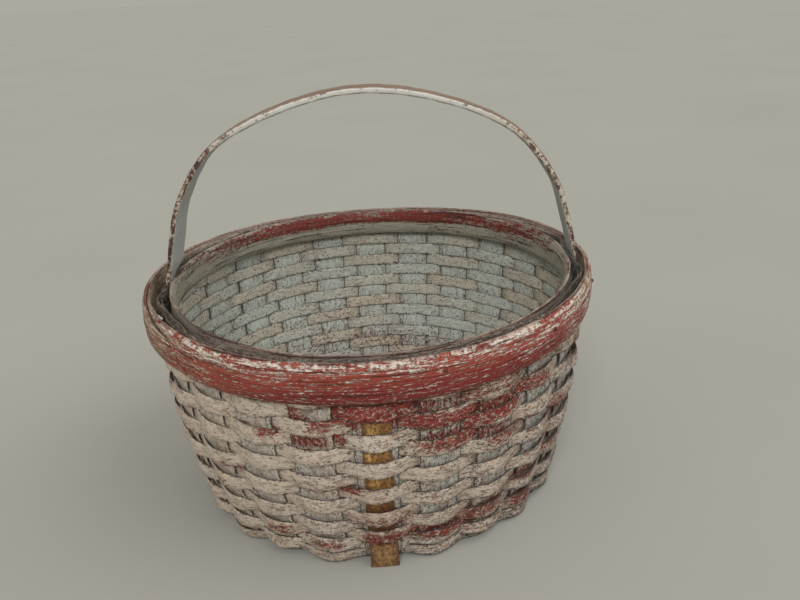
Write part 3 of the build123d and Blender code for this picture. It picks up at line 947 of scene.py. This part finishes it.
def painted_hoop(name, red_light, red_deep, pale_a, pale_b, worn_tone, chippy, streaky):
    """Bent wood under thick barn red, worn along the grain to cream, olive and bare wood."""
    n = Nodes(name)
    place, red, olive, deep, dirt_and_shade = coat_parts(n)
    fibre = n.noise(place, 22, 1300, 4.0, 0.65)
    chips = n.noise(place, 260, 520, 9.0, 0.82)
    lines = n.noise(place, 55, 760, 6.0, 0.80, (2.4, 0.7))
    long_lines = n.noise(place, 12, 420, 5.0, 0.7, (4.7, 1.9))
    broad = n.noise(place, 16, 150)
    red_paint = n.mix(n.step(n.plus(deep, n.swing(broad, 1.6)), 0.0, 0.8), red_light, red_deep)
    red_paint = n.mix(n.times(n.step(long_lines, 0.48, 0.62), 0.5), red_paint, srgb(82, 34, 28))
    pale = n.mix(n.step(chips, 0.4, 0.6), pale_a, pale_b)
    pale = n.mix(n.times(n.step(lines, 0.50, 0.66), 0.6), pale, srgb(112, 84, 70))
    pale = n.mix(n.times(n.step(dirt_and_shade, 0.55, 0.95), 0.65), pale, srgb(146, 114, 102))
    showing = n.plus(red, n.swing(chips, chippy), n.swing(lines, streaky), n.swing(long_lines, 1.0),
                     n.swing(broad, 1.0))
    left = n.step(showing, 0.46, 0.52)
    colour = n.mix(left, pale, red_paint)
    worn = n.plus(olive, n.swing(n.noise(place, 60, 340, 6.0, 0.72, (8.2, 4.4)), 2.6))
    colour = n.mix(n.times(n.step(worn, 0.50, 0.70), 0.75), colour, worn_tone)
    cracks = n.step(n.plus(long_lines, n.times(dirt_and_shade, 0.12)), 0.62, 0.68)
    specks = n.noise(place, 420, 700, 5.0, 0.75, (6.1, 3.3))
    specks = n.step(n.plus(specks, n.times(dirt_and_shade, 0.12)), 0.65, 0.70)
    grime = n.math("MAXIMUM", cracks, specks)
    colour = n.mix(n.times(grime, 0.8), colour, srgb(46, 34, 28))
    height = n.plus(n.times(left, 0.4), n.times(fibre, 0.5), n.times(long_lines, 1.6),
                    n.times(grime, -0.5))
    roughness = n.plus(n.times(chips, 0.25), 0.42)
    return n.finish(colour, roughness, height, 0.0008)


def painted_handle(name):
    """The handle: white over brown wood, bare on its outer face and chipped down its legs."""
    n = Nodes(name)
    place, _, _, face, leg = coat_parts(n)
    fibre = n.noise(place, 20, 1400, 4.0, 0.65)
    chips = n.noise(place, 260, 480, 8.0, 0.80)
    lines = n.noise(place, 22, 620, 6.0, 0.75, (4.4, 2.7))
    wood = n.mix(n.step(fibre, 0.35, 0.65), srgb(108, 88, 76), srgb(154, 134, 116))
    red_paint = n.mix(n.step(fibre, 0.4, 0.6), srgb(98, 42, 34), srgb(142, 72, 56))
    inner = n.step(face, 0.80, 0.97)
    outer = n.step(face, 0.22, 0.04)
    leg_edge = n.times(leg, n.plus(1.0, n.times(inner, -1.0)))
    edge_white = n.mix(leg, srgb(206, 203, 196), srgb(192, 184, 168))
    pale = n.mix(inner, edge_white, srgb(176, 178, 176))
    showing = n.plus(n.times(outer, 0.75), n.times(leg_edge, 0.24), n.times(inner, -0.16),
                     n.swing(chips, 2.9), n.swing(lines, 1.8))
    bare = n.step(showing, 0.28, 0.36)
    ground = n.mix(n.step(n.plus(chips, n.times(outer, 0.12)), 0.50, 0.60), red_paint, wood)
    colour = n.mix(bare, pale, ground)
    dark = n.plus(n.times(n.plus(lines, chips), 0.5), n.times(leg_edge, 0.05))
    colour = n.mix(n.times(n.step(dark, 0.57, 0.62), 0.8), colour, srgb(50, 42, 38))
    height = n.plus(n.times(bare, -0.5), n.plus(n.times(fibre, 0.5), n.times(lines, 0.8)))
    roughness = n.plus(n.times(chips, 0.25), 0.44)
    return n.finish(colour, roughness, height, 0.0005)


def amber_wood(name):
    """A bare splint, varnished amber, dark in its pores and at its edges."""
    n = Nodes(name)
    place, level, edge, _, _ = coat_parts(n)
    fibre = n.noise(place, 40, 1500, 4.0, 0.65)
    blotch = n.noise(place, 300, 380, 8.0, 0.80)
    broad = n.noise(place, 60, 110)
    gold = n.mix(n.step(broad, 0.35, 0.65), srgb(146, 102, 52), srgb(204, 160, 96))
    gold = n.mix(n.times(n.step(fibre, 0.5, 0.7), 0.4), gold, srgb(112, 70, 36))
    low = n.times(n.step(level, 0.30, 0.20), n.step(level, 0.07, 0.10))
    gold = n.mix(n.times(low, 0.80), gold, srgb(104, 54, 36))
    # Painted shade: the foot, low by the floor, is darkened to brown
    gold = n.mix(n.times(n.step(level, 0.10, 0.06), 0.70), gold, srgb(108, 80, 52))
    margin = n.step(edge, 0.55, 1.0)
    speckle = n.step(n.plus(blotch, n.plus(n.times(margin, 0.10), n.times(low, 0.05))), 0.48, 0.58)
    colour = n.mix(n.times(speckle, 0.78), gold, srgb(70, 42, 28))
    height = n.plus(n.times(fibre, 0.5), n.times(speckle, -0.4))
    return n.finish(colour, n.plus(n.times(blotch, 0.3), 0.30), height, 0.0004, 0.45)


def old_iron(name):
    """Rusty nail heads with barn red left on them."""
    n = Nodes(name)
    place = n.add("ShaderNodeTexCoord", {}, output=3)
    rust = n.noise(place, 700, 700, 5.0, 0.7, z=700)
    colour = n.mix(n.step(rust, 0.4, 0.62), srgb(74, 40, 34), srgb(124, 58, 44))
    return n.finish(colour, n.plus(n.times(rust, 0.3), 0.45), rust, 0.0002)


FLOOR_DARK, FLOOR_LIGHT = srgb(161, 160, 153), srgb(170, 169, 162)


def plain_cloth(name):
    n = Nodes(name)
    place = n.add("ShaderNodeTexCoord", {}, output=3)
    soft = n.noise(place, 2.2, 2.2, 3.0, 0.5, z=2.2)
    return n.finish(n.mix(soft, FLOOR_DARK, FLOOR_LIGHT), 0.9, soft, 0.004, 0.1)


# ---------------- the object
wall_paint = painted_splint("weaver_paint", 0.4)
stake_paint = painted_splint("stake_paint", 0.9)
add_stakes(stake_paint)
add_base_rows(wall_paint)
add_wall_rows(wall_paint)
rim_red = painted_hoop("rim_paint", srgb(160, 70, 54), srgb(130, 42, 36), srgb(222, 214, 203),
                       srgb(180, 150, 134), srgb(146, 116, 82), 2.9, 3.4)
inner_red = painted_hoop("inner_rim_paint", srgb(142, 56, 44), srgb(108, 36, 30), srgb(146, 146, 132),
                         srgb(176, 170, 156), srgb(172, 150, 138), 4.2, 1.7)
add_hoops(rim_red, inner_red)
add_handle(painted_handle("handle_paint"))
add_brace(amber_wood("amber_splint_wood"))
add_nails(old_iron("nail_iron"))


# ---------------- floor and light
FLOOR_RADIUS, FLOOR_SIDES = 20.0, 64
FLOOR_DROP = 0.0002  # below the basket's foot


def add_floor(material):
    corners = []
    for k in range(FLOOR_SIDES):
        turn = 2 * math.pi * k / FLOOR_SIDES
        corners.append((FLOOR_RADIUS * math.cos(turn), FLOOR_RADIUS * math.sin(turn), 0))
    mesh = bpy.data.meshes.new("floor")
    mesh.from_pydata(corners, [], [tuple(range(FLOOR_SIDES))])
    floor = bpy.data.objects.new("floor", mesh)
    mesh.materials.append(material)
    bpy.context.collection.objects.link(floor)
    floor.location.z = -FLOOR_DROP


def add_sun(name, source, softness, strength):
    """Even light from the direction of a point, soft over an angle in degrees."""
    data = bpy.data.lights.new(name, "SUN")
    data.angle = math.radians(softness)
    data.energy = strength
    lamp = bpy.data.objects.new(name, data)
    lamp.location = source
    lamp.rotation_euler = (-Vector(source)).to_track_quat("-Z", "Y").to_euler()
    bpy.context.collection.objects.link(lamp)


def add_world(colour, strength):
    world = bpy.data.worlds.new("soft_room")
    world.use_nodes = True
    background = world.node_tree.nodes["Background"]
    background.inputs["Color"].default_value = colour
    background.inputs["Strength"].default_value = strength
    bpy.context.scene.world = world


add_floor(plain_cloth("pale_sheet"))
add_world(srgb(172, 170, 160), 1.0)
add_sun("key", (-0.25, -1.6, 1.35), 22, 1.50)
add_sun("fill", (1.5, -0.5, 1.4), 60, 1.05)
add_sun("overhead", (0.4, 0.4, 2.0), 70, 0.32)
bpy.context.scene.view_settings.view_transform = "Standard"
